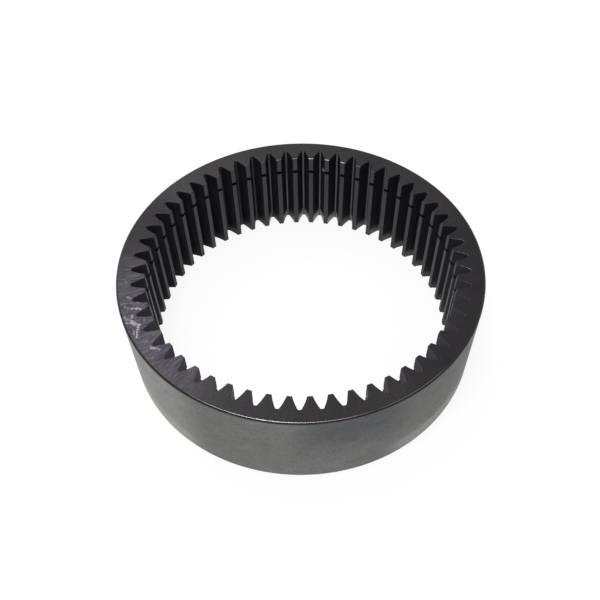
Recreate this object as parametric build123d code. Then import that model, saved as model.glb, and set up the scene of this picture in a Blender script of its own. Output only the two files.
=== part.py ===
from build123d import *
import math
import os

# An internal ring gear: a turned steel ring with straight involute teeth cut round its inside.
# Lengths are millimetres and angles are degrees. The origin is the centre of the bottom face,
# +Z is the gear's axis, and one tooth is centred on the +X axis.

# Tooth system. The factors are in modules, as on a gear drawing.
module = 3.5
tooth_count = 54
pressure_angle = 20.0
profile_shift = 0.3         # moves the whole tooth outwards, which also thins it
addendum_factor = 1.1       # pitch circle to crest, before the shift
dedendum_factor = 1.25      # pitch circle to root, before the shift
tooth_thinning = 0.13       # backlash allowance, taken off each tooth along the pitch circle
root_fillet = 0.7           # radius in the two corners of each tooth space

# Ring
face_width = 60.0           # length of the teeth, and height of the ring
rim_wall = 8.575            # solid wall from the tooth roots to the outside
rim_chamfer = 1.0           # outer corner of both end faces
crest_chamfer = 0.4         # ends of the tooth crests, turned on the bore before the teeth are cut

# Retaining groove, turned across the crests of all the teeth
groove_from_top = 10.0      # top face to the groove's upper wall
groove_width = 2.2
groove_depth = 1.8          # crest to groove floor

# Cutter travel past the metal, and how finely a flank is drawn
cutter_overrun = 0.5
flank_points = 7

# Circles of the tooth system
pitch_radius = module * tooth_count / 2
base_radius = pitch_radius * math.cos(math.radians(pressure_angle))
crest_radius = pitch_radius + module * (profile_shift - addendum_factor)
root_radius = pitch_radius + module * (profile_shift + dedendum_factor)
outer_radius = root_radius + rim_wall


def involute_angle(radius):
    """Polar angle, in radians, that the involute has turned from the base circle out to a radius."""
    pressure = math.acos(min(1.0, base_radius / radius))
    return math.tan(pressure) - pressure


def space_half_angle(radius):
    """Half the polar angle, in radians, of the space between two teeth at a radius."""
    shift_widening = 2 * profile_shift * math.tan(math.radians(pressure_angle))
    at_pitch = (math.pi / 2 + shift_widening) / tooth_count + tooth_thinning / (2 * pitch_radius)
    return at_pitch + involute_angle(pitch_radius) - involute_angle(radius)


def polar(radius, angle):
    """Point at a radius and an angle in radians from +X."""
    return (radius * math.cos(angle), radius * math.sin(angle))


def flank(side):
    """Points of one side of a tooth space, from just inside the bore out to the root circle."""
    start_radius = crest_radius - cutter_overrun
    step = (root_radius - start_radius) / (flank_points - 1)
    radii = [start_radius + step * i for i in range(flank_points)]
    return [polar(r, side * space_half_angle(r)) for r in radii]


def fitting_root_fillet():
    """The root fillet, limited so that the two in one space always leave a little flat between them."""
    half_land = root_radius * space_half_angle(root_radius)
    flank_lean = math.acos(min(1.0, base_radius / root_radius))
    setback_per_radius = math.tan((math.pi / 2 - flank_lean) / 2)
    return min(root_fillet, 0.9 * half_land / setback_per_radius)


def tooth_space():
    """The cutter's sweep between two teeth: involute flanks, a root arc and filleted corners."""
    left, right = flank(1), flank(-1)
    root_middle = polar(root_radius, 0)
    with BuildPart() as space:
        with BuildSketch(Plane.XY.offset(-cutter_overrun)) as profile:
            with BuildLine():
                Spline(*right)
                ThreePointArc(right[-1], root_middle, left[-1])
                Spline(*left)
                Line(left[0], right[0])
            make_face()
            corners = profile.vertices().group_by(SortBy.DISTANCE)[-1]
            fillet(corners, fitting_root_fillet())
        extrude(amount=face_width + 2 * cutter_overrun)
    return space.part


def turned_blank():
    """The ring as it leaves the lathe: outside, bore, chamfered corners and the retaining groove."""
    groove_upper = face_width - groove_from_top
    groove_lower = groove_upper - groove_width
    floor_radius = crest_radius + groove_depth
    section = [
        (crest_radius + crest_chamfer, 0),
        (outer_radius - rim_chamfer, 0),
        (outer_radius, rim_chamfer),
        (outer_radius, face_width - rim_chamfer),
        (outer_radius - rim_chamfer, face_width),
        (crest_radius + crest_chamfer, face_width),
        (crest_radius, face_width - crest_chamfer),
        (crest_radius, groove_upper),
        (floor_radius, groove_upper),
        (floor_radius, groove_lower),
        (crest_radius, groove_lower),
        (crest_radius, crest_chamfer),
    ]
    with BuildPart() as blank:
        with BuildSketch(Plane.XZ):
            with BuildLine():
                Polyline(*section, close=True)
            make_face()
        revolve(axis=Axis.Z)
    return blank.part


def ring_gear():
    """The finished gear: the blank with a tooth space cut between each pair of teeth."""
    pitch = 360 / tooth_count
    spaces = PolarLocations(0, tooth_count, start_angle=pitch / 2) * tooth_space()
    return turned_blank() - spaces


os.makedirs("parts", exist_ok=True)
export_step(ring_gear(), "parts/ring_gear.step")
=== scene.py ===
# %% [markdown]
# # An internal ring gear
# The part is one steel ring. Its outside is a plain turned cylinder, its bore is cut into 54 straight
# teeth, and a narrow groove for a retaining ring crosses the tips of all of them. The CAD model gives
# the true size and place, so we load it first. Everything that follows is in metres, with +Z up along
# the gear's axis and the origin in the middle of the bottom face. Directions round the ring are degrees
# from +X. The camera stands at the front, at 270, so 0 is the right, 90 the back and 180 the left.

# %% Load the CAD frame
import bpy
import bmesh
import math
from mathutils import Matrix, Vector


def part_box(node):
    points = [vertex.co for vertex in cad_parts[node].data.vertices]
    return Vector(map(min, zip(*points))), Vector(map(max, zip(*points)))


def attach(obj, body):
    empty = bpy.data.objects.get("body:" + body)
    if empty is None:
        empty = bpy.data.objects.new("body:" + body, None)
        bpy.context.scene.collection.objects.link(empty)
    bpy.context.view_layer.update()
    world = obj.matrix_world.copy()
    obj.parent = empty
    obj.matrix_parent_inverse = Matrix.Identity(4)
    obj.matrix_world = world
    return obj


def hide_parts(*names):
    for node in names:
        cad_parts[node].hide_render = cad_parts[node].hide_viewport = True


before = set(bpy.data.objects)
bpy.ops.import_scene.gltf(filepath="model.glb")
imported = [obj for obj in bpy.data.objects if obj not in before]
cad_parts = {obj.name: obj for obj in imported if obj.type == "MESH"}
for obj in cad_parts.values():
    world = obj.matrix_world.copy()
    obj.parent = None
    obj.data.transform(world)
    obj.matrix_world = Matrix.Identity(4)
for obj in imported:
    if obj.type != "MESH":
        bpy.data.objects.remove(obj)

mm = 0.001
low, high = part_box("ring_gear")
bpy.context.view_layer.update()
outer_radius = high.x
height = high.z
print("ring:", round(2 * outer_radius / mm, 2), "mm across")
print("from", round(low.z / mm, 2), "to", round(height / mm, 2), "mm above the floor")

# %% [markdown]
# ## The numbers of the teeth
# A gear tooth's side is an involute, the curve that the end of a taut string draws as it unwinds from
# a base circle. The whole tooth follows from a few values on the gear's drawing, so we write those
# down once and work out the rest. The outline isn't traced or typed in point by point.

# %% Tooth sizes
tooth_count = 54
module = 3.5 * mm
pressure_angle = math.radians(20)
profile_shift = 0.3
addendum = 1.1
dedendum = 1.25
tooth_thinning = 0.13 * mm
root_fillet = 0.7 * mm

pitch_radius = module * tooth_count / 2
base_radius = pitch_radius * math.cos(pressure_angle)
crest_radius = pitch_radius + module * (profile_shift - addendum)
root_radius = pitch_radius + module * (profile_shift + dedendum)
half_pitch = math.pi / tooth_count
print("pitch circle:", round(2 * pitch_radius / mm, 2), "mm across")
print("teeth from", round(2 * crest_radius / mm, 2), "to", round(2 * root_radius / mm, 2), "mm across")

# %% [markdown]
# ## Chamfers and groove
# The other sizes are of cuts that a lathe makes. The last value isn't a size on the gear: two points that
# lie nearer to each other than this count as one place when we select and merge.

# %% Chamfer and groove sizes
crest_chamfer = 0.4 * mm
rim_chamfer = 1.0 * mm
rim_round = 0.20 * mm
groove_upper = height - 10.0 * mm
groove_lower = groove_upper - 2.2 * mm
groove_floor = crest_radius + 1.8 * mm
near = 0.002 * mm
print("groove from", round(groove_lower / mm, 2), "to", round(groove_upper / mm, 2), "mm above the floor")

# %% [markdown]
# ## How wide the metal is at each radius
# On this gear the teeth point inwards, so the metal gets wider from the tip to the root. The angle that
# the involute has turned tells how wide. We measure it from the middle of a tooth.

# %% Involute helpers
def involute_angle(radius):
    """Angle that the involute has turned from the base circle out to a radius."""
    pressure = math.acos(min(1.0, base_radius / radius))
    return math.tan(pressure) - pressure


def tooth_half_angle(radius):
    """Half the angle that the metal of one tooth fills at a radius."""
    widening = 2 * profile_shift * math.tan(pressure_angle)
    space_at_pitch = (math.pi / 2 + widening) / tooth_count + tooth_thinning / (2 * pitch_radius)
    space = space_at_pitch + involute_angle(pitch_radius) - involute_angle(radius)
    return half_pitch - space


def polar(radius, angle, z=0.0):
    """Point at a radius, an angle from +X and a height."""
    return Vector((radius * math.cos(angle), radius * math.sin(angle), z))


print("tooth tip is", round(2 * crest_radius * tooth_half_angle(crest_radius) / mm, 2), "mm wide")

# %% [markdown]
# ## The rounded corner at the root
# The cutter leaves a small radius where the side runs into the root, because a sharp corner would
# crack. A circle that touches an involute has its middle on a parallel involute, which is the same
# curve turned a little. That gives the corner exactly, with no fitting.

# %% Outline of half a tooth
def corner_points(steps):
    """Points of the root corner, from where it leaves the side to where it meets the root circle."""
    centre_radius = root_radius - root_fillet
    centre_angle = tooth_half_angle(centre_radius) + root_fillet / base_radius
    centre = polar(centre_radius, centre_angle)
    string = math.sqrt(centre_radius ** 2 - base_radius ** 2) + root_fillet
    touch_radius = math.sqrt(base_radius ** 2 + string ** 2)
    touch = polar(touch_radius, tooth_half_angle(touch_radius))
    start = math.atan2(touch.y - centre.y, touch.x - centre.x)
    turn = (centre_angle - start) / steps
    offsets = [polar(root_fillet, start + turn * step) for step in range(steps + 1)]
    return [centre + offset for offset in offsets]


# Stops along the tooth's side, near enough to each other that its curve looks smooth.
side_radii = [crest_radius, groove_floor, 95.2 * mm, 96.8 * mm, 98.3 * mm]
side_points = [polar(radius, tooth_half_angle(radius)) for radius in side_radii]
half_outline = side_points + corner_points(4) + [polar(root_radius, half_pitch)]
mirrored = [Vector((point.x, -point.y, 0)) for point in reversed(half_outline)]
outline = mirrored + [polar(crest_radius, 0)] + half_outline
print("one tooth is drawn with", len(outline), "points")

# %% [markdown]
# ## Selecting by place
# By hand you would click the faces or edges you want. In a script we choose them by where they are, and
# then run the same tools. One helper selects, one clears the scene's selection, and one drags the
# selected points straight outwards to a radius.

# %% Selection helpers
def start_piece(name):
    """Deselect everything, add a small plane, and go into edit mode on it."""
    bpy.ops.object.select_all(action="DESELECT")
    bpy.ops.mesh.primitive_plane_add(size=mm, location=(0, 0, 0))
    piece = bpy.context.object
    piece.name = name
    piece.data.name = name
    bpy.ops.object.mode_set(mode="EDIT")
    return piece


def radius_of(place):
    """Distance from the gear's axis."""
    return math.hypot(place.x, place.y)


def pick(piece, kind, test):
    """Select only the VERT, EDGE or FACE elements whose points all pass the test."""
    bpy.ops.mesh.select_mode(type=kind)
    bpy.ops.mesh.select_all(action="DESELECT")
    shape = bmesh.from_edit_mesh(piece.data)
    group = {"VERT": shape.verts, "EDGE": shape.edges, "FACE": shape.faces}[kind]
    count = 0
    for element in group:
        points = [element.co] if kind == "VERT" else [vert.co for vert in element.verts]
        if all(test(point) for point in points):
            element.select_set(True)
            count += 1
    bmesh.update_edit_mesh(piece.data)
    return count


def pull_out(piece, radius):
    """Move the selected points along their spokes to one radius, one ring of points at a time."""
    shape = bmesh.from_edit_mesh(piece.data)
    rings = {}
    for number, vert in enumerate(shape.verts):
        if vert.select:
            rings.setdefault(round(radius_of(vert.co) / near), []).append(number)
    for members in rings.values():
        bpy.ops.mesh.select_mode(type="VERT")
        bpy.ops.mesh.select_all(action="DESELECT")
        shape = bmesh.from_edit_mesh(piece.data)
        shape.verts.ensure_lookup_table()
        for number in members:
            shape.verts[number].select_set(True)
        factor = radius / radius_of(shape.verts[members[0]].co)
        bpy.ops.transform.resize(value=(factor, factor, 1), center_override=(0, 0, 0))


# %% [markdown]
# ## Draw one tooth and raise it
# A plane merged to its centre is a single point. We move it to the first point of the outline and
# extrude it from point to point, as you would with the pen-like extrude in the viewport. Then the
# whole line is extruded upwards. The stops on the way give us edges where the chamfers and the
# groove will need them.

# %% Draw one tooth and raise it
gear = start_piece("ring_gear_dressed")
bpy.ops.mesh.merge(type="CENTER")
bpy.ops.transform.translate(value=outline[0])
for here, there in zip(outline, outline[1:]):
    bpy.ops.mesh.extrude_region_move(TRANSFORM_OT_translate={"value": there - here})

bpy.ops.mesh.select_mode(type="EDGE")
bpy.ops.mesh.select_all(action="SELECT")
levels = [0, crest_chamfer, groove_lower, groove_upper, height - crest_chamfer, height]
for below, above in zip(levels, levels[1:]):
    bpy.ops.mesh.extrude_region_move(TRANSFORM_OT_translate={"value": (0, 0, above - below)})
print("wall of one tooth:", len(bmesh.from_edit_mesh(gear.data).faces), "faces")

# %% [markdown]
# ## Chamfer the ends of the tooth tip
# On the real ring the bore is chamfered before the teeth are cut, so only the tips show it. Here we
# drag the three end points of the tip outwards, and the two side points slide along the tooth's side.

# %% Chamfer the tip's ends
cone_radius = crest_radius + crest_chamfer
for end in (0, height):
    for side in (-1, 0, 1):
        here = polar(crest_radius, side * tooth_half_angle(crest_radius), end)
        there = polar(cone_radius, side * tooth_half_angle(cone_radius), end)
        pick(gear, "VERT", lambda point: (point - here).length < near)
        bpy.ops.transform.translate(value=there - here)
print("tip chamfer:", round(crest_chamfer / mm, 2), "mm")

# %% [markdown]
# ## Turn the groove across the tip
# The groove is a narrow slot turned in the bore, so on each tooth it is a notch with a round floor. We
# select the band between its two edges, extrude it, and pull it out to the floor's radius. The notch
# ends on the tooth's sides, where the new points land on the old ones and are merged.

# %% Cut the groove
def in_groove(point):
    """True for points between the groove's two walls that lie no deeper than its floor."""
    return groove_lower - near < point.z < groove_upper + near and radius_of(point) < groove_floor + near


band = pick(gear, "FACE", in_groove)
bpy.ops.mesh.extrude_region_move()
pull_out(gear, groove_floor)
bpy.ops.mesh.select_all(action="SELECT")
bpy.ops.mesh.remove_doubles(threshold=near)
print("groove notch cut from", band, "faces")

# %% [markdown]
# ## Close the ends and the outside
# Each end face runs from the tooth's outline out to the rim. We extrude the outline's edges twice:
# first to a circle just outside the roots, which keeps the faces tidy, and then to the rim. The
# two rims are bridged, and that bridge is the outside of the ring.

# %% End faces and outside
tidy_circle = root_radius + 1.2 * mm
for end in (0, height):
    pick(gear, "EDGE", lambda point: abs(point.z - end) < near)
    bpy.ops.mesh.extrude_region_move()
    pull_out(gear, tidy_circle)
    pick(gear, "EDGE", lambda point: abs(point.z - end) < near and radius_of(point) > tidy_circle - near)
    bpy.ops.mesh.extrude_region_move()
    pull_out(gear, outer_radius)

pick(gear, "EDGE", lambda point: radius_of(point) > outer_radius - near)
bpy.ops.mesh.bridge_edge_loops()
print("one pitch of the ring:", len(bmesh.from_edit_mesh(gear.data).faces), "faces")

# %% [markdown]
# ## Copy it round the axis
# The spin tool can copy instead of sweep. It makes the other 53 pitches, and merging by distance joins
# them into one closed ring. The normals are recalculated last, because a spun copy can face inwards.

# %% Spin the copies
bpy.ops.mesh.select_all(action="SELECT")
turn = 2 * math.pi * (tooth_count - 1) / tooth_count
bpy.ops.mesh.spin(steps=tooth_count - 1, dupli=True, angle=turn, center=(0, 0, 0), axis=(0, 0, 1))
bpy.ops.mesh.select_all(action="SELECT")
bpy.ops.mesh.remove_doubles(threshold=near)
bpy.ops.mesh.normals_make_consistent(inside=False)
print("whole ring:", len(bmesh.from_edit_mesh(gear.data).faces), "faces")

# %% [markdown]
# ## Break the rim's corners
# Both corners of the outside have a plain 45 degree chamfer, which helps the ring into its housing. On
# the closed ring this is one bevel with a single segment. Handling has rounded the corner where the
# chamfer meets the end face, so a second, smaller bevel with more segments rounds it.

# %% Rim chamfer
def on_circle(end, radius):
    """A test for points that lie on an end face at a radius."""
    return lambda point: abs(point.z - end) < near and abs(radius_of(point) - radius) < near


for end in (0, height):
    corners = pick(gear, "EDGE", on_circle(end, outer_radius))
    bpy.ops.mesh.bevel(offset=rim_chamfer, segments=1, affect="EDGES")
    rounded = pick(gear, "EDGE", on_circle(end, outer_radius - rim_chamfer))
    bpy.ops.mesh.bevel(offset=rim_round, segments=3, affect="EDGES")
bpy.ops.object.mode_set(mode="OBJECT")
print("rim chamfer on", corners, "edges and rounded corner on", rounded, "edges at each end")

# %% [markdown]
# ## Which surface has which finish
# Different tools made the ring's surfaces, so they look different: the ends are ground, the outside is
# fine turned, the tips are bored, and a shaper cut the sides and the bottoms between the teeth. Each
# finish gets a material slot of its own, with a material that is still plain.

# %% Material slots
finish_names = ["tooth_sides", "tooth_bottoms", "tooth_tips", "groove", "end_faces"]
finish_names += ["outside", "rim_corner", "rim_edge", "broken_edge"]
for name in finish_names:
    finish = bpy.data.materials.new(name)
    finish.use_nodes = True
    gear.data.materials.append(finish)
print("material slots:", len(gear.data.materials))

# %% [markdown]
# ## Tell the surfaces apart
# A face lies on a surface when all its points do. So each surface gets a short test that says whether a
# point lies on it, by its radius and its distance from the nearer end face.

# %% Tests for each surface
def from_end(point):
    """Distance from the nearer end face."""
    return min(point.z, height - point.z)


def on_bottom(point):
    return root_radius - near < radius_of(point) < root_radius + near


def on_tip(point):
    return radius_of(point) < cone_radius + near


def on_end(point):
    return from_end(point) < near


def on_outside(point):
    return radius_of(point) > outer_radius - near


def on_rim_corner(point):
    return from_end(point) < rim_chamfer + near and radius_of(point) > outer_radius - 1.5 * rim_chamfer


def on_rim_edge(point):
    return on_rim_corner(point) and from_end(point) < 0.8 * rim_round


# %% [markdown]
# ## Hand out the finishes
# This is the Assign button of the material slots. Every face starts in the first slot, so the tooth sides
# need no selecting. A later finish takes faces back from an earlier one, so the order counts: the groove
# comes after the tips that it crosses, and the rim's rounded corner after the rest of the rim's corner.

# %% Assign the finishes
def give_finish(piece, name, test):
    """Assign a finish to the faces whose points all pass the test. Works in edit mode."""
    count = pick(piece, "FACE", test)
    piece.active_material_index = finish_names.index(name)
    bpy.ops.object.material_slot_assign()
    print(name + ":", count, "faces")


bpy.ops.object.mode_set(mode="EDIT")
give_finish(gear, "tooth_bottoms", on_bottom)
give_finish(gear, "tooth_tips", on_tip)
give_finish(gear, "groove", in_groove)
give_finish(gear, "rim_corner", on_rim_corner)
give_finish(gear, "rim_edge", on_rim_edge)
give_finish(gear, "end_faces", on_end)
give_finish(gear, "outside", on_outside)
bpy.ops.object.mode_set(mode="OBJECT")

# %% [markdown]
# ## Soften every sharp edge
# No real edge is perfectly sharp: a file or a tumbling barrel takes a tenth of a millimetre off. That
# narrow band catches the light and makes metal look like metal. A Bevel modifier finds the edges by
# their angle, and gives the new faces a finish of their own. A Weighted Normal modifier then lets the
# large faces decide the shading, so that flat faces stay flat right up to their rounded edges.

# %% Soften the sharp edges
bpy.ops.object.select_all(action="DESELECT")
gear.select_set(True)
bpy.context.view_layer.objects.active = gear
soften = gear.modifiers.new("soften", "BEVEL")
soften.width = 0.12 * mm
soften.segments = 2
soften.limit_method = "ANGLE"
soften.angle_limit = math.radians(30)
soften.use_clamp_overlap = False
soften.material = finish_names.index("broken_edge")
bpy.ops.object.modifier_apply(modifier=soften.name)
bpy.ops.object.shade_smooth_by_angle(angle=math.radians(40))

flatten = gear.modifiers.new("flatten", "WEIGHTED_NORMAL")
flatten.keep_sharp = True
bpy.ops.object.modifier_apply(modifier=flatten.name)
print("after softening:", len(gear.data.polygons), "faces")

# %% [markdown]
# ## Helpers for finishes
# A finish is a small tree of shader nodes that ends in one Principled shader. By hand you would add each
# node and join the sockets. These helpers keep each tree short to write: one adds any node, and the
# others wrap the few kinds that we use again and again.

# %% Node helpers
def add_node(tree, kind, inputs, **settings):
    """Add a node. Its inputs are given from the top down, as plain values or as outputs to join to."""
    made = tree.nodes.new("ShaderNode" + kind)
    for name, value in settings.items():
        setattr(made, name, value)
    shown = [socket for socket in made.inputs if socket.enabled]
    for socket, value in zip(shown, inputs):
        if isinstance(value, bpy.types.NodeSocket):
            tree.links.new(value, socket)
        else:
            socket.default_value = value
    return [socket for socket in made.outputs if socket.enabled][0]


def maths(tree, operation, first, second=0.0):
    """One step of arithmetic on numbers."""
    return add_node(tree, "Math", [first, second], operation=operation)


def times(tree, first, *others):
    """Multiply two or more amounts."""
    for other in others:
        first = maths(tree, "MULTIPLY", first, other)
    return first


def vectors(tree, operation, first, second=(0, 0, 0)):
    """One step of arithmetic on vectors."""
    return add_node(tree, "VectorMath", [first, second], operation=operation)


def noise(tree, vector, scale, detail=2.0, roughness=0.5, distortion=0.0):
    """A cloudy pattern. How far the vector is stretched decides which way its spots are drawn out."""
    return add_node(tree, "TexNoise", [vector, scale, detail, roughness, 2.0, distortion])


def mask(tree, value, start, stop):
    """Rises smoothly from 0 at start to 1 at stop. With start above stop it falls instead."""
    return add_node(tree, "MapRange", [value, start, stop], interpolation_type="SMOOTHSTEP")


def fit(tree, pattern, lowest, highest):
    """Stretch a noise, most of which lies between 0.3 and 0.7, to a range of our own."""
    return add_node(tree, "MapRange", [pattern, 0.3, 0.7, lowest, highest])


# %% [markdown]
# ## Helpers for colour and relief
# Two colours can be mixed, which lays one over the other, or a colour can be darkened, which keeps its
# tint. Relief is only in the light: a bump tilts the shading and leaves the mesh as it is, which is right
# for marks a few hundredths of a millimetre deep.

# %% Colour and relief helpers
def mix(tree, amount, first, second):
    """Mix two colours. Amount 0 gives the first, and 1 the second."""
    first, second = [(*c, 1) if isinstance(c, tuple) else c for c in (first, second)]
    return add_node(tree, "Mix", [amount, first, second], data_type="RGBA")


def darken(tree, amount, colour, share):
    """Multiply a colour by a share of itself. Amount 0 leaves it as it is."""
    inputs = [amount, colour, (share, share, share, 1)]
    return add_node(tree, "Mix", inputs, data_type="RGBA", blend_type="MULTIPLY")


def bump(tree, height_pattern, strength, depth):
    """Turn a pattern into small hills and dents that only the light sees."""
    return add_node(tree, "Bump", [strength, depth, 1.0, height_pattern])


def set_surface(tree, colour, roughness, relief, strength, metallic):
    """Join a colour, a roughness and a relief to the surface of a finish."""
    surface = tree.nodes["Principled BSDF"]
    tree.links.new(colour, surface.inputs["Base Color"])
    tree.links.new(roughness, surface.inputs["Roughness"])
    tree.links.new(bump(tree, relief, strength, 0.02 * mm), surface.inputs["Normal"])
    surface.inputs["Metallic"].default_value = metallic


def count_nodes(name):
    """Print how large the tree of a finish has become."""
    print(name, "finish:", len(bpy.data.materials[name].node_tree.nodes), "nodes")


# %% [markdown]
# ## Where is this spot on the ring?
# Lathe and grinder marks run round the axis, and cutter marks run along it. So the patterns need the
# direction of the spoke through a spot, its radius, and its height, rather than plain x, y and z. All of
# them come from the Object coordinates, so the marks stay put when the ring or the camera moves.

# %% Places on the ring
def places(tree):
    """Object coordinates of a spot, the direction of its spoke, its radius and its height."""
    spot = tree.nodes.new("ShaderNodeTexCoord").outputs["Object"]
    flat = vectors(tree, "MULTIPLY", spot, (1, 1, 0))
    spoke = vectors(tree, "NORMALIZE", flat)
    radius = vectors(tree, "LENGTH", flat)
    level = vectors(tree, "DOT_PRODUCT", spot, (0, 0, 1))
    return spot, spoke, radius, level


def streaks(tree, spoke, across, along, fineness, detail=2.0):
    """Noise drawn out into lines: fine in one direction of the spoke's turn, and coarse in the other."""
    turned = vectors(tree, "MULTIPLY", spoke, (across, across, across))
    lifted = add_node(tree, "CombineXYZ", [0.0, 0.0, times(tree, along, fineness)])
    return noise(tree, vectors(tree, "ADD", turned, lifted), 1.0, detail)


def near_angle(tree, spoke, where):
    """1 near a direction round the ring. Where gives its angle, how far it reaches and how far it is 1."""
    degrees, outer, inner = where
    facing = (math.cos(math.radians(degrees)), math.sin(math.radians(degrees)), 0)
    start, stop = math.cos(math.radians(outer)), math.cos(math.radians(inner))
    return mask(tree, vectors(tree, "DOT_PRODUCT", spoke, facing), start, stop)


def tint_near(tree, spoke, colour, where, share, other, only=1.0):
    """Mix a share of another colour in near a direction. Only can limit it to a part of the height."""
    amount = times(tree, near_angle(tree, spoke, where), share, only)
    return mix(tree, amount, colour, other)


# %% [markdown]
# ## Which side of a tooth, and how near to a line?
# Wear isn't the same on both sides of a tooth. The sine of 54 times the angle is positive on one side of
# every tooth and negative on the other, so it tells the two apart without a mark on the mesh. A scuff is
# a short stroke, and a spot's distance from the line between its two ends tells whether it is inside.

# %% Tooth side and stroke
def high_side(tree, spot):
    """0 on the side of a tooth that faces lower angles, and 1 on the side that faces higher ones."""
    split = tree.nodes.new("ShaderNodeSeparateXYZ")
    tree.links.new(spot, split.inputs["Vector"])
    angle = maths(tree, "ARCTAN2", split.outputs["Y"], split.outputs["X"])
    wave = maths(tree, "SINE", times(tree, angle, float(tooth_count)))
    return mask(tree, wave, -0.2, 0.2)


def stroke(tree, spot, start, end, half_width):
    """1 near the straight line between two points, falling to 0 at half a width from it."""
    line = end - start
    from_start = vectors(tree, "SUBTRACT", spot, tuple(start))
    share = vectors(tree, "DOT_PRODUCT", from_start, tuple(line / line.length_squared))
    share = add_node(tree, "Math", [share, 0.0], operation="ADD", use_clamp=True)
    nearest = add_node(tree, "VectorMath", [tuple(line), share], operation="SCALE")
    away = vectors(tree, "DISTANCE", from_start, nearest)
    return mask(tree, away, half_width, 0.35 * half_width)


# %% [markdown]
# ## The ground ends: coating and painted shade
# Both end faces were ground flat and then blackened, so they are a dark grey with a hint of violet. The
# coating isn't even. Noise mixes two greys and a brown in soft clouds, and four tints make it darker or
# paler by where it is round the ring. Three of them darken the front, the right and the left, which is
# partly thicker coating and partly painted shade. The fourth is a paler violet where the top is worn on
# the left. Each tint has its direction, how far to each side of that it reaches, and how far it is full,
# all in degrees.

# %% Coating and painted shade of the end faces
coat_and_shade_front = (268, 34, 8)
coat_and_shade_right = (342, 54, 22)
coat_and_shade_left = (165, 22, 6)
worn_left = (214, 28, 8)


def coat_and_shade_ends(tree, spot, spoke, on_top):
    """The blackened coating, with painted shade among its tints round the ring. Gives its clouds and its
    colour.
    """
    clouds = noise(tree, spot, 60.0, 5.0)
    colour = mix(tree, fit(tree, clouds, 0.0, 1.0), (0.045, 0.043, 0.046), (0.058, 0.055, 0.059))
    brown = fit(tree, noise(tree, spot, 150.0, 3.0), -0.2, 0.7)
    colour = mix(tree, brown, colour, (0.058, 0.047, 0.046))
    # The next three tints are partly thicker coating and partly painted shade, at the front, the right and
    # the left.
    colour = tint_near(tree, spoke, colour, coat_and_shade_front, 0.85, (0.034, 0.031, 0.033))
    colour = tint_near(tree, spoke, colour, coat_and_shade_right, 0.75, (0.033, 0.031, 0.033))
    colour = tint_near(tree, spoke, colour, coat_and_shade_left, 0.85, (0.025, 0.023, 0.026))
    colour = tint_near(tree, spoke, colour, worn_left, 0.6, (0.057, 0.051, 0.068), on_top)
    return clouds, colour


# %% [markdown]
# ## The ground ends: scratches and specks
# Sliding the ring about has scratched the top along its spokes, mostly on one side. The scratches are
# noise that is very fine round the ring and long along the spoke. Between them the coating is speckled,
# dark and pale, and most of all beside the rubs. Both patterns also give the surface its relief.

# %% Scratches and specks
scratched_left = (206, 38, 14)
speckled_left = (203, 11, 5)


def scratch_ends(tree, spoke, radius, on_top, colour):
    """Scratches along the spokes. Gives their pattern and the new colour."""
    scratches = streaks(tree, spoke, 640.0, radius, 150.0, 4.0)
    strength = times(tree, near_angle(tree, spoke, scratched_left), on_top, 0.75)
    strength = maths(tree, "ADD", strength, 0.10)
    pale_lines = times(tree, mask(tree, scratches, 0.48, 0.62), strength)
    colour = mix(tree, pale_lines, colour, (0.136, 0.125, 0.152))
    dark_lines = times(tree, mask(tree, scratches, 0.50, 0.38), strength)
    return scratches, mix(tree, dark_lines, colour, (0.028, 0.025, 0.031))


def speckle_ends(tree, spot, spoke, on_top, colour):
    """Dark and pale specks about a millimetre wide. Gives their pattern and the new colour."""
    specks = noise(tree, spot, 800.0, 3.0, 0.6)
    strength = times(tree, near_angle(tree, spoke, speckled_left), on_top, 0.60)
    strength = maths(tree, "ADD", strength, 0.16)
    dark_specks = times(tree, mask(tree, specks, 0.50, 0.38), strength)
    colour = mix(tree, dark_specks, colour, (0.024, 0.021, 0.026))
    pale_specks = times(tree, mask(tree, specks, 0.52, 0.64), strength)
    return specks, mix(tree, pale_specks, colour, (0.090, 0.081, 0.098))


# %% [markdown]
# ## The ground ends: rubs
# On one side of the top the black has been rubbed through to bright steel. Each rub is a stroke between
# two places on the face. Noise bends the strokes, so that none of them looks ruled. Painting them on a
# picture would be one way, but nodes stay sharp however near the camera comes.

# %% Rubbed strokes on the top face
# Each stroke runs from a place to a place, both as degrees round the ring and a radius in millimetres,
# and then comes its half width in millimetres and how bright it is.
rubs = [
    ((204.9, 106.7), (205.5, 104.8), 0.7, 0.6), ((205.3, 103.7), (206.5, 102.5), 1.6, 0.75),
    ((206.4, 102.4), (207.2, 100.0), 0.9, 0.85), ((207.4, 101.0), (209.2, 102.9), 1.0, 0.9),
    ((209.2, 103.0), (211.4, 105.0), 0.7, 0.85), ((208.2, 104.4), (209.9, 105.2), 0.8, 0.4),
    ((202.3, 102.2), (203.9, 102.7), 0.6, 0.65), ((200.1, 101.4), (200.6, 98.6), 0.7, 0.8),
    ((200.5, 98.0), (201.3, 96.8), 1.0, 0.65), ((197.3, 106.4), (198.2, 97.0), 0.6, 0.3),
    ((202.6, 106.6), (203.8, 105.6), 1.3, 0.35), ((203.6, 105.6), (204.6, 103.8), 0.9, 0.4),
    ((205.6, 96.8), (206.5, 97.2), 0.5, 0.25), ((214.0, 103.0), (214.6, 101.2), 0.8, 0.25),
    ((217.2, 101.4), (218.2, 100.2), 1.1, 0.75), ((218.7, 99.4), (219.5, 98.4), 0.9, 0.45),
    ((220.0, 106.8), (220.9, 103.8), 0.6, 0.3), ((222.3, 107.0), (222.8, 104.0), 0.6, 0.3),
    ((195.0, 102.4), (195.8, 101.0), 1.0, 0.5), ((188.6, 102.6), (189.0, 101.8), 0.7, 0.3),
    ((198.4, 105.0), (200.0, 103.0), 1.0, 0.25),
]
rub_wander = 2.4 * mm


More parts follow.
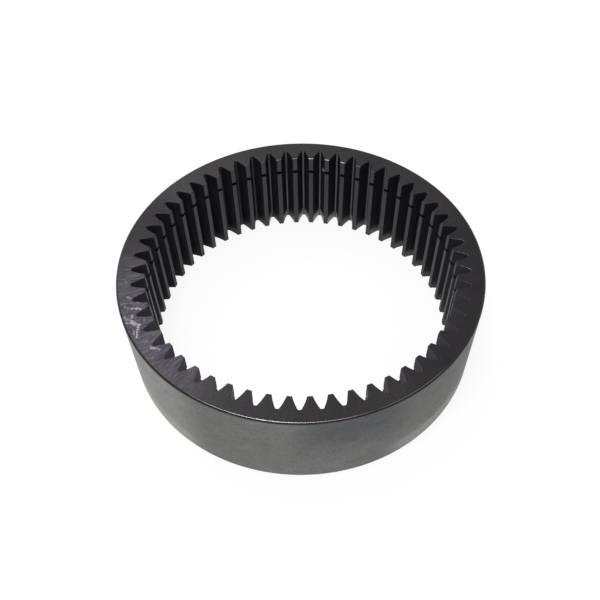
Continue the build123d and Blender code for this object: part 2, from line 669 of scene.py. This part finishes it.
def rubbed_amount(tree, spot):
    """How bright the rubs make a spot: 0 outside them all, and up to 1 in the brightest."""
    wander = tree.nodes.new("ShaderNodeTexNoise")
    wander.inputs["Scale"].default_value = 1200.0
    tree.links.new(spot, wander.inputs["Vector"])
    wander = vectors(tree, "SUBTRACT", wander.outputs["Color"], (0.5, 0.5, 0.5))
    wander = vectors(tree, "MULTIPLY", wander, (rub_wander, rub_wander, 0))
    bent = vectors(tree, "ADD", vectors(tree, "MULTIPLY", spot, (1, 1, 0)), wander)
    total = 0.0
    for start, end, half_width, brightness in rubs:
        start, end = [polar(radius * mm, math.radians(degrees)) for degrees, radius in (start, end)]
        one = stroke(tree, bent, start, end, half_width * mm)
        total = maths(tree, "MAXIMUM", times(tree, one, brightness), total)
    return total


print("rubbed strokes:", len(rubs))

# %% [markdown]
# ## The ground ends: bare steel
# Inside a rub the bare steel shows in curly strands, with some coating left between them. A noise takes
# the value one half along winding lines, so the spots where it is near one half are such strands. Then
# the layers are put together, over faint rings from the grinder, and the rubs are a little smoother.

# %% Finish of the end faces
def rub_ends(tree, spot, on_top, colour):
    """Bare steel in the rubs. Gives its amount and the new colour."""
    winding = noise(tree, spot, 1000.0, 2.0, 0.5, 1.5)
    from_half = maths(tree, "ABSOLUTE", maths(tree, "SUBTRACT", winding, 0.5))
    strands = maths(tree, "ADD", times(tree, mask(tree, from_half, 0.10, 0.03), 0.80), 0.20)
    rubbed = times(tree, rubbed_amount(tree, spot), strands, on_top)
    return rubbed, mix(tree, rubbed, colour, (0.375, 0.358, 0.420))


def finish_ends(name):
    """Dark coating with scratches, specks and rubs."""
    tree = bpy.data.materials[name].node_tree
    spot, spoke, radius, level = places(tree)
    on_top = mask(tree, level, 0.4 * height, 0.6 * height)
    clouds, colour = coat_and_shade_ends(tree, spot, spoke, on_top)
    scratches, colour = scratch_ends(tree, spoke, radius, on_top, colour)
    specks, colour = speckle_ends(tree, spot, spoke, on_top, colour)
    rubbed, colour = rub_ends(tree, spot, on_top, colour)
    rings = streaks(tree, spoke, 3.0, radius, 1500.0, 2.0)
    roughness = maths(tree, "ADD", fit(tree, clouds, 0.36, 0.46), times(tree, rubbed, -0.06))
    relief = maths(tree, "ADD", maths(tree, "ADD", scratches, specks), times(tree, rings, 0.5))
    set_surface(tree, colour, roughness, relief, 0.25, 0.9)
    count_nodes(name)


finish_ends("end_faces")

# %% [markdown]
# ## The tooth sides: painted light at the feet, and a burr
# The lowest millimetres of the sides are painted paler at the back and its right, more on one side of each
# tooth than on the other, which is painted reflection of the white floor. At the back's left they are
# painted black instead, which is painted shade. On one tooth a real burr by the groove is one stroke,
# painted near white as a painted glint.

# %% Feet and burr of the tooth sides
reflected_low_right = (62, 42, 15)
reflected_low_back = (91, 20, 11)
reflected_high_back = (66, 34, 12)
shaded_feet_left = (150, 27, 14)
burr_glint_start = polar(93.2 * mm, math.radians(81.14), 49.0 * mm)
burr_glint_end = polar(97.0 * mm, math.radians(82.0), 47.4 * mm)
burr_glint_half_width = 1.2 * mm


def paint_light_on_feet(tree, spot, spoke, level, colour):
    """Painted floor reflection and painted shade on the feet of the teeth."""
    # Painted reflection of the white floor on the lowest millimetres, stronger on one side of each tooth.
    low_reflected = times(tree, near_angle(tree, spoke, reflected_low_right), 0.18)
    low_reflected = maths(tree, "ADD", low_reflected, times(tree, near_angle(tree, spoke, reflected_low_back), 0.58))
    high_reflected = times(tree, near_angle(tree, spoke, reflected_high_back), 0.90)
    reflected = add_node(tree, "Mix", [high_side(tree, spot), low_reflected, high_reflected], data_type="FLOAT")
    reflected = maths(tree, "ADD", reflected, 0.10)
    # Painted shade: the feet at the back's left are darkened.
    oily = near_angle(tree, spoke, shaded_feet_left)
    unshaded = maths(tree, "SUBTRACT", 1.0, oily)
    painted_reflection_feet = times(tree, reflected, mask(tree, level, 7.8 * mm, 3.0 * mm), unshaded)
    colour = mix(tree, painted_reflection_feet, colour, (0.50, 0.51, 0.48))
    painted_shade_feet = times(tree, oily, mask(tree, level, 15 * mm, 5 * mm), 0.6)
    return mix(tree, painted_shade_feet, colour, (0.009, 0.008, 0.010))


print("burr:", round((burr_glint_end - burr_glint_start).length / mm, 1), "mm long")

# %% [markdown]
# ## The tooth sides: the cutter's lines
# A shaper's cutter runs up and down, and leaves fine lines along each tooth: noise that is fine across
# the tooth and long in height. The sides are nearly black with oil and oxide, and blackest near the top.
# Towards the front the film is thinner and they are greyer. Such a film hides most of the metal, so this
# finish is only about a third metal, and its shine is turned down.

# %% Finish of the tooth sides
thin_oil_front = (280, 105, 60)


def cutter_marks(tree, spot):
    """Fine lines up and down the teeth, and soft clouds of oil on them."""
    lines = noise(tree, vectors(tree, "MULTIPLY", spot, (1500, 1500, 45)), 1.0, 3.0)
    clouds = noise(tree, vectors(tree, "MULTIPLY", spot, (90, 90, 35)), 1.0, 3.0)
    return lines, clouds


def finish_sides(name):
    """Black, oily sides with fine lines."""
    tree = bpy.data.materials[name].node_tree
    spot, spoke, radius, level = places(tree)
    lines, clouds = cutter_marks(tree, spot)
    colour = mix(tree, fit(tree, lines, 0.0, 1.0), (0.019, 0.018, 0.023), (0.041, 0.039, 0.048))
    near_top = mask(tree, level, 46 * mm, 56 * mm)
    colour = mix(tree, times(tree, near_top, 0.5), colour, (0.014, 0.013, 0.017))
    colour = tint_near(tree, spoke, colour, thin_oil_front, 1.0, (0.084, 0.078, 0.092))
    colour = paint_light_on_feet(tree, spot, spoke, level, colour)
    by_tip = mask(tree, radius, crest_radius + 0.8 * mm, crest_radius)
    colour = mix(tree, times(tree, by_tip, 0.5), colour, (0.05, 0.05, 0.055))
    # A real burr, painted near white as a painted glint.
    burr = stroke(tree, spot, burr_glint_start, burr_glint_end, burr_glint_half_width)
    colour = mix(tree, burr, colour, (0.95, 0.95, 0.95))
    set_surface(tree, colour, fit(tree, clouds, 0.54, 0.64), lines, 0.2, 0.35)
    surface = tree.nodes["Principled BSDF"]
    surface.inputs["Specular IOR Level"].default_value = 0.15
    surface.inputs["Specular Tint"].default_value = (0.5, 0.48, 0.55, 1)
    count_nodes(name)


finish_sides("tooth_sides")

# %% [markdown]
# ## The tooth tips
# The tips are what is left of the bored hole, so their marks run round the axis. They are a flat, even
# grey, lighter than the sides because passing gears and fingers keep them clean. At the left and the right
# of the ring they are painted darker, which is painted shade. A metal goes white where it is seen at a
# glancing angle. The oil on these tips holds that back, and the shader's specular tint does the same.

# %% Finish of the tooth tips
shaded_tips_left = (173, 28, 13)
shaded_tips_right = (359, 15, 8)


def finish_tips(name):
    """Clean grey tips with marks round the axis."""
    tree = bpy.data.materials[name].node_tree
    spot, spoke, radius, level = places(tree)
    turning = streaks(tree, spoke, 20.0, level, 2200.0, 2.0)
    clouds = noise(tree, vectors(tree, "MULTIPLY", spot, (200, 200, 70)), 1.0, 3.0)
    colour = mix(tree, fit(tree, clouds, 0.0, 1.0), (0.047, 0.048, 0.051), (0.066, 0.068, 0.072))
    colour = mix(tree, fit(tree, turning, 0.0, 0.35), colour, (0.040, 0.041, 0.044))
    # Painted shade: the tips are darker at the left and the right of the ring.
    shade_left = times(tree, near_angle(tree, spoke, shaded_tips_left), 0.90)
    shade_right = times(tree, near_angle(tree, spoke, shaded_tips_right), 0.75)
    colour = mix(tree, maths(tree, "MAXIMUM", shade_left, shade_right), colour, (0.020, 0.020, 0.022))
    set_surface(tree, colour, fit(tree, clouds, 0.36, 0.46), turning, 0.2, 0.9)
    tree.nodes["Principled BSDF"].inputs["Specular Tint"].default_value = (0.78, 0.78, 0.79, 1)
    count_nodes(name)


finish_tips("tooth_tips")

# %% [markdown]
# ## The bottoms between the teeth
# The bottoms carry the same cutter's lines as the sides, but look straight at the open bore and so are
# lighter. At the back left they are darker, and the lowest millimetres all round are darkened too, which
# is painted shade.

# %% Finish of the bottoms
darker_back_left = (127, 34, 8)


def finish_bottoms(name):
    """Grey bottoms with the cutter's lines."""
    tree = bpy.data.materials[name].node_tree
    spot, spoke, radius, level = places(tree)
    lines, clouds = cutter_marks(tree, spot)
    colour = mix(tree, fit(tree, lines, 0.0, 1.0), (0.080, 0.079, 0.086), (0.130, 0.129, 0.138))
    colour = mix(tree, fit(tree, clouds, -0.4, 0.5), colour, (0.058, 0.053, 0.056))
    colour = tint_near(tree, spoke, colour, darker_back_left, 0.90, (0.022, 0.020, 0.023))
    # Painted shade: the lowest millimetres are darker.
    shade_near_floor = mask(tree, level, 14 * mm, 3 * mm)
    colour = mix(tree, times(tree, shade_near_floor, 0.5), colour, (0.026, 0.024, 0.027))
    set_surface(tree, colour, fit(tree, clouds, 0.40, 0.50), lines, 0.2, 0.8)
    count_nodes(name)


finish_bottoms("tooth_bottoms")

# %% [markdown]
# ## The outside: oil film and painted reflection
# The outside is fine turned and only lightly blackened, so it is the palest part of the ring. Its oil film
# changes slowly, which large soft noise gives. Five tints make it paler and warm on the left, most of all
# low down, darker and bluish at the front's top, a little darker at the front right's top, and paler in a
# strip low on the right. The paler places are partly the film's own tone and partly painted reflection of
# the white floor, and the darker tops are painted shade.

# %% Oil film and painted reflection on the outside
reflection_left = (212, 32, 2)
reflection_left_foot = (214, 26, 10)
shade_front_top = (286, 21, 3)
shade_front_right = (318, 28, 8)
reflection_front_right_foot = (318, 24, 8)


def film_and_reflections_outside(tree, spot, spoke, level):
    """The slow changes of the oil film, with painted reflection and painted shade round the ring. Gives
    its clouds and its colour.
    """
    clouds = noise(tree, spot, 32.0, 4.0)
    film = noise(tree, vectors(tree, "ADD", spot, (0.4, 0.2, 0.1)), 24.0, 3.0)
    colour = mix(tree, fit(tree, clouds, 0.0, 1.0), (0.218, 0.216, 0.212), (0.264, 0.261, 0.251))
    colour = mix(tree, fit(tree, film, -0.5, 0.8), colour, (0.206, 0.211, 0.200))
    high_up = mask(tree, level, 8 * mm, 54 * mm)
    low_down = mask(tree, level, 17 * mm, 10 * mm)
    # Painted reflection of the white floor makes the left and the lowest parts paler, and painted shade
    # darkens the front's top.
    colour = tint_near(tree, spoke, colour, reflection_left, 0.75, (0.473, 0.466, 0.434))
    colour = tint_near(tree, spoke, colour, reflection_left_foot, 0.6, (0.620, 0.614, 0.580), low_down)
    colour = tint_near(tree, spoke, colour, shade_front_top, 0.9, (0.121, 0.125, 0.136), high_up)
    colour = tint_near(tree, spoke, colour, shade_front_right, 0.35, (0.150, 0.157, 0.149), high_up)
    colour = tint_near(tree, spoke, colour, reflection_front_right_foot, 0.9, (0.428, 0.428, 0.415), low_down)
    return clouds, colour


# %% [markdown]
# ## The outside: stains and hair lines
# Over the film lie stains a centimetre wide, a grain of a millimetre or two, and the hair-fine lines that
# the lathe left. They darken whatever is under them, so they look alike in pale and dark places.

# %% Finish of the outside
def finish_outside(name):
    """Satin grey with stains, grain and hair lines round it."""
    tree = bpy.data.materials[name].node_tree
    spot, spoke, radius, level = places(tree)
    clouds, colour = film_and_reflections_outside(tree, spot, spoke, level)
    stains = noise(tree, spot, 115.0, 3.0)
    colour = darken(tree, fit(tree, stains, -0.15, 0.40), colour, 0.74)
    grain = noise(tree, spot, 520.0, 3.0, 0.6)
    colour = darken(tree, fit(tree, grain, -0.22, 0.40), colour, 0.50)
    hair_lines = streaks(tree, spoke, 9.0, level, 1900.0, 3.0)
    colour = darken(tree, fit(tree, hair_lines, -0.05, 0.45), colour, 0.70)
    roughness = maths(tree, "ADD", fit(tree, clouds, 0.40, 0.50), fit(tree, hair_lines, -0.03, 0.03))
    set_surface(tree, colour, roughness, hair_lines, 0.10, 0.95)
    tree.nodes["Principled BSDF"].inputs["Specular Tint"].default_value = (0.6, 0.6, 0.6, 1)
    count_nodes(name)


finish_outside("outside")

# %% [markdown]
# ## The groove and the rim's chamfer
# The small surfaces are narrow, so each starts from one plain tree with two greys of its own. The groove's
# dark greys are painted shade in the narrow slot, and old oil keeps the rim's chamfer dark. The chamfer is
# cleaner along the edge that lies away from the end face, where the housing has touched it.

# %% Finish of the groove and the rim's chamfer
def start_small(name, dark, light, fineness, roughness):
    """A patchy metal between two greys. Gives its tree, its places and its colour, to build on."""
    tree = bpy.data.materials[name].node_tree
    place = places(tree)
    spot, spoke, radius, level = place
    patches = noise(tree, spot, fineness, 4.0)
    marks = streaks(tree, spoke, 25.0, level, 2500.0, 2.0)
    colour = mix(tree, fit(tree, patches, 0.0, 1.0), dark, light)
    set_surface(tree, colour, fit(tree, marks, roughness - 0.05, roughness + 0.05), marks, 0.15, 0.9)
    return tree, place, colour


def recolour(tree, amount, colour, other):
    """Mix another colour in, and join the result in place of the first."""
    mixed = mix(tree, amount, colour, other)
    tree.links.new(mixed, tree.nodes["Principled BSDF"].inputs["Base Color"])
    return mixed


def distance_from_end(tree, level):
    """Distance of a spot from the nearer end face."""
    return maths(tree, "MINIMUM", level, maths(tree, "SUBTRACT", height, level))


def finish_rim_corner(name):
    """The rim's dark chamfer."""
    dark, light = (0.030, 0.029, 0.030), (0.050, 0.049, 0.050)
    tree, (spot, spoke, radius, level), colour = start_small(name, dark, light, 120.0, 0.5)
    far_edge = mask(tree, distance_from_end(tree, level), 0.6 * mm, 0.85 * mm)
    recolour(tree, times(tree, far_edge, 0.7), colour, (0.14, 0.14, 0.14))
    count_nodes(name)


# The groove's dark greys are painted shade in the narrow slot.
start_small("groove", (0.020, 0.019, 0.022), (0.032, 0.030, 0.034), 150.0, 0.6)
finish_rim_corner("rim_corner")

# %% [markdown]
# ## The rim's rounded corner
# Where the chamfer meets the end face, the corner is painted bright, but only at the front and the front
# right, and only on the part of the curve next to the end face. This is a painted highlight, laid where
# the overhead lamp draws its thin bright line. Everywhere else it is as dark as the end face.

# %% Finish of the rim's rounded corner
highlight_front = (264, 30, 16)
highlight_front_right = (304, 14, 6)


def finish_rim_edge(name):
    """A painted highlight line on part of the rim's corner."""
    dark, light = (0.33, 0.33, 0.33), (0.46, 0.46, 0.45)
    tree, (spot, spoke, radius, level), colour = start_small(name, dark, light, 150.0, 0.3)
    # Painted highlight: the bright colour is kept only where the overhead lamp's line falls, and made dark
    # elsewhere.
    front = near_angle(tree, spoke, highlight_front)
    front_right = times(tree, near_angle(tree, spoke, highlight_front_right), 0.6)
    by_end = mask(tree, distance_from_end(tree, level), 0.085 * mm, 0.045 * mm)
    highlight = times(tree, maths(tree, "MAXIMUM", front, front_right), by_end)
    recolour(tree, maths(tree, "SUBTRACT", 1.0, highlight), colour, (0.050, 0.048, 0.052))
    count_nodes(name)


finish_rim_edge("rim_edge")

# %% [markdown]
# ## The broken edges
# The softened edges are patchy grey. At the back, the tips' ends carry a painted highlight where they
# glint under the lamp. At the right, a few spaces between the teeth have a thin painted highlight along
# one edge. Beside the groove the edges are painted as dark as the groove, which is painted shade, and
# round the rim they are the chamfer's paler grey.

# %% Finish of the broken edges
glint_back = (80, 12, 6)
glint_near_back = (85, 26, 10)
edge_glint_right = (5, 11, 6)


def finish_broken_edge(name):
    """Patchy grey edges, with painted highlights where they glint and painted shade beside the groove."""
    dark, light = (0.045, 0.044, 0.047), (0.105, 0.105, 0.110)
    tree, (spot, spoke, radius, level), colour = start_small(name, dark, light, 240.0, 0.36)
    at_end = mask(tree, distance_from_end(tree, level), 0.3 * mm, 0.2 * mm)

    # Painted highlight: the glints on the tips' ends at the back.
    glints = times(tree, near_angle(tree, spoke, glint_back), 0.70)
    around = times(tree, near_angle(tree, spoke, glint_near_back), 0.28)
    glints = maths(tree, "ADD", glints, around)
    on_tips = mask(tree, radius, 93.5 * mm, 93.0 * mm)
    colour = recolour(tree, times(tree, glints, on_tips, at_end), colour, (0.72, 0.72, 0.73))

    # Painted highlight along one edge of a few spaces at the right.
    one_side = maths(tree, "SUBTRACT", 1.0, high_side(tree, spot))
    past_tips = mask(tree, radius, 93.0 * mm, 94.0 * mm)
    edge_glint = times(tree, near_angle(tree, spoke, edge_glint_right), past_tips, at_end, one_side)
    colour = recolour(tree, edge_glint, colour, (0.32, 0.32, 0.33))

    # Painted shade beside the groove.
    groove_middle = (groove_lower + groove_upper) / 2
    from_groove = maths(tree, "ABSOLUTE", maths(tree, "SUBTRACT", level, groove_middle))
    colour = recolour(tree, mask(tree, from_groove, 1.6 * mm, 1.35 * mm), colour, (0.022, 0.021, 0.024))
    recolour(tree, mask(tree, radius, 108.0 * mm, 108.2 * mm), colour, (0.14, 0.14, 0.14))
    count_nodes(name)


finish_broken_edge("broken_edge")

# %% [markdown]
# ## The floor
# The ring stands on a plain white table. A white floor lit to white would need so much light that the
# ring would look washed out. So the camera and the reflections see a floor that is part glow and part
# plain surface, and the plain part still takes the ring's shadow. All other light sees a plain floor.

# %% Floor
def make_floor(size):
    """A wide white table under the ring."""
    bpy.ops.object.select_all(action="DESELECT")
    bpy.ops.mesh.primitive_plane_add(size=size, location=(0, 0, 0))
    floor = bpy.context.object
    floor.name = "floor"
    finish = bpy.data.materials.new("white_floor")
    finish.use_nodes = True
    tree = finish.node_tree
    tree.nodes.remove(tree.nodes["Principled BSDF"])
    path = tree.nodes.new("ShaderNodeLightPath")
    seen = maths(tree, "MAXIMUM", path.outputs["Is Camera Ray"], path.outputs["Is Glossy Ray"])
    seen = maths(tree, "MAXIMUM", seen, path.outputs["Is Transmission Ray"])
    plain = add_node(tree, "BsdfDiffuse", [(0.8, 0.8, 0.8, 1)])
    shaded = add_node(tree, "BsdfDiffuse", [(0.19, 0.19, 0.19, 1)])
    glow = add_node(tree, "Emission", [(1, 1, 1, 1), 0.86])
    white = add_node(tree, "AddShader", [shaded, glow])
    either = add_node(tree, "MixShader", [seen, plain, white])
    tree.links.new(either, tree.nodes["Material Output"].inputs["Surface"])
    floor.data.materials.append(finish)
    return floor


floor_size = 40.0
floor = make_floor(floor_size)
print("floor:", floor.name, "at height", floor.location.z)

# %% [markdown]
# ## The light
# Dark metal shows what surrounds it more than what shines on it, so a plain pale room gives the base
# tone. Two lamps give the form. A small one nearly overhead draws the bright line along the rim's rounded
# corner and the glints on the tips' ends. A larger, weaker one at the back left is mirrored towards the
# camera by the top face.

# %% Lamp helper
def direction_to(degrees, lift):
    """Direction towards an angle round the ring, lifted by an angle above the floor."""
    turn, tilt = math.radians(degrees), math.radians(lift)
    return Vector((math.cos(tilt) * math.cos(turn), math.cos(tilt) * math.sin(turn), math.sin(tilt)))


def soft_lamp(name, degrees, lift, away, width, depth, power):
    """A rectangular lamp that looks at the middle of the ring from a direction."""
    lamp = bpy.data.objects.new(name, bpy.data.lights.new(name, "AREA"))
    bpy.context.scene.collection.objects.link(lamp)
    lamp.data.shape = "RECTANGLE"
    lamp.data.size = width
    lamp.data.size_y = depth
    lamp.data.energy = power
    direction = direction_to(degrees, lift)
    lamp.location = direction * away
    lamp.rotation_mode = "QUATERNION"
    lamp.rotation_quaternion = direction.to_track_quat("Z", "Y")
    on_white = power / (math.pi * away) ** 2
    print(name + ": gives a white surface that faces it", round(on_white, 2))


# %% [markdown]
# ## Set the room and the lamps
# The room is the world's own even light, with no picture in it. Room and lamps together add up to about
# 1 on a white surface, so every colour renders about as it is written.

# %% Room and lamps
world = bpy.data.worlds.new("room")
bpy.context.scene.world = world
world.use_nodes = True
background = world.node_tree.nodes["Background"]
background.inputs["Color"].default_value = (1, 1, 1, 1)
background.inputs["Strength"].default_value = 0.57
print("room: gives a white surface", round(background.inputs["Strength"].default_value, 2))
soft_lamp("overhead", degrees=238, lift=75, away=1.2, width=0.3, depth=0.3, power=4.0)
soft_lamp("back_lamp", degrees=124, lift=54, away=1.1, width=0.6, depth=0.5, power=2.0)
bpy.context.scene.view_settings.view_transform = "Standard"

# %% [markdown]
# ## The camera
# The camera looks down at about 53 degrees, nearly along +Y, with a slightly long lens. It is leant by
# less than a degree, as a hand-held camera is, and a small lens shift centres the ring.

# %% Camera
def make_camera(stands, degrees, lift, roll, lens, shift):
    """A camera at a place that looks back from a direction, as a lamp does."""
    camera = bpy.data.objects.new("camera", bpy.data.cameras.new("camera"))
    bpy.context.scene.collection.objects.link(camera)
    facing = direction_to(degrees, lift).to_track_quat("Z", "Y").to_matrix().to_4x4()
    lean = Matrix.Rotation(math.radians(roll), 4, "Z")
    camera.matrix_world = Matrix.Translation(stands) @ facing @ lean
    camera.data.lens = lens
    camera.data.sensor_width = 36.0
    camera.data.shift_x, camera.data.shift_y = shift
    camera.data.clip_start = 0.01
    bpy.context.scene.camera = camera
    return camera


camera_place = Vector((0.0066, -0.2873, 0.3860))
lens_shift = (-0.0326, 0.0414)
camera = make_camera(camera_place, degrees=269.083, lift=53.479, roll=0.811, lens=43.86, shift=lens_shift)
print("camera stands at", [round(value, 4) for value in camera.matrix_world.translation])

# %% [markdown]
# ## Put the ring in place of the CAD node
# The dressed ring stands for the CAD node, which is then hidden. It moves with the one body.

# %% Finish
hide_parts("ring_gear")
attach(gear, "root")
